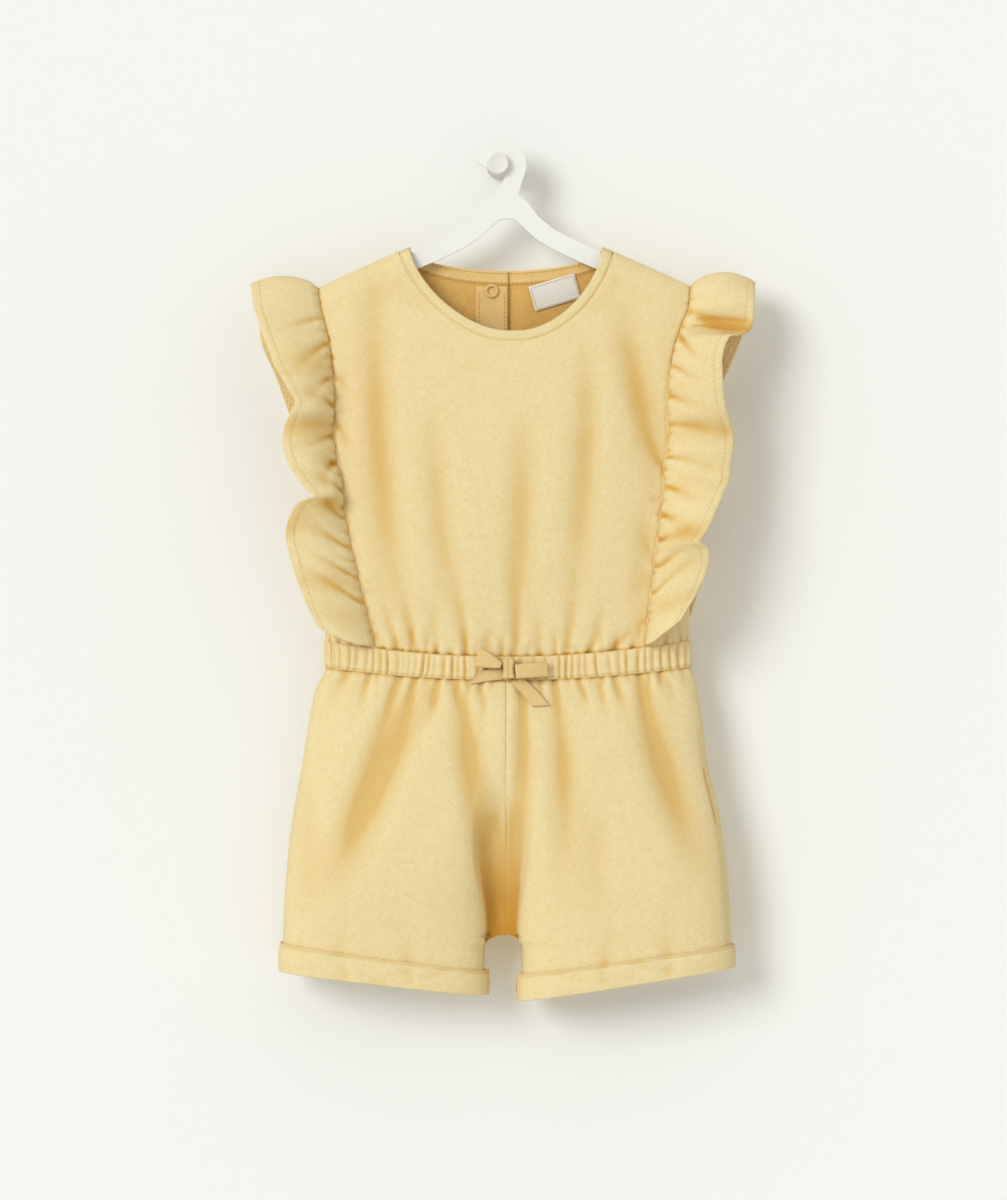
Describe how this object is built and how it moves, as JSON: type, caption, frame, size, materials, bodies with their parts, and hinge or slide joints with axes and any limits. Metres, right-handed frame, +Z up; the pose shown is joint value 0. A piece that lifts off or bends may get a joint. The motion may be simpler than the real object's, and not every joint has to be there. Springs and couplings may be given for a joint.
{
  "type": "baby romper on a clothes hanger and wall peg",
  "caption": "Short baby romper of thin jersey with ruffled shoulders, gathered waist, small ribbon bow and turned-up cuffs, hung on a flat hanger over a round wall peg.",
  "frame": {"origin": "middle of the wall peg's back face, on the plane of the wall", "axes": "+Z up, -Y out of the wall towards someone who faces the romper's front, +X to that person's right"},
  "size_m": [0.3155, 0.0734, 0.5372],
  "materials": {
    "jersey": "matte brushed jersey, pale yellow",
    "binding": "matte rib jersey, pale yellow",
    "ribbon": "soft ribbon, warm yellow",
    "label": "woven cotton, cream, bare",
    "stud": "painted press stud, pale yellow",
    "hanger": "smooth matte white",
    "peg": "smooth matte white"
  },
  "bodies": {
    "root": {"front_bodice": "jersey", "back_bodice_left": "jersey", "back_bodice_right": "jersey", "back_placket": "jersey", "side_panel_left": "jersey", "side_panel_right": "jersey", "ruffle_left": "jersey", "ruffle_right": "jersey", "waistband_front": "jersey", "waistband_back": "jersey", "leg_front_left": "jersey", "leg_front_right": "jersey", "leg_back_left": "jersey", "leg_back_right": "jersey", "cuff_left": "jersey", "cuff_right": "jersey", "pocket_facing_right": "jersey", "neck_binding_front": "binding", "neck_binding_back_left": "binding", "neck_binding_back_right": "binding", "bow_loop_left": "ribbon", "bow_loop_right": "ribbon", "bow_tail_left": "ribbon", "bow_tail_right": "ribbon", "bow_knot": "ribbon", "neck_label": "label", "snap_1_ring": "stud", "snap_1_cap": "stud", "snap_2_ring": "stud", "snap_2_cap": "stud", "snap_3_ring": "stud", "snap_3_cap": "stud", "hanger": "hanger", "wall_peg": "peg"}
  },
  "joints": []
}
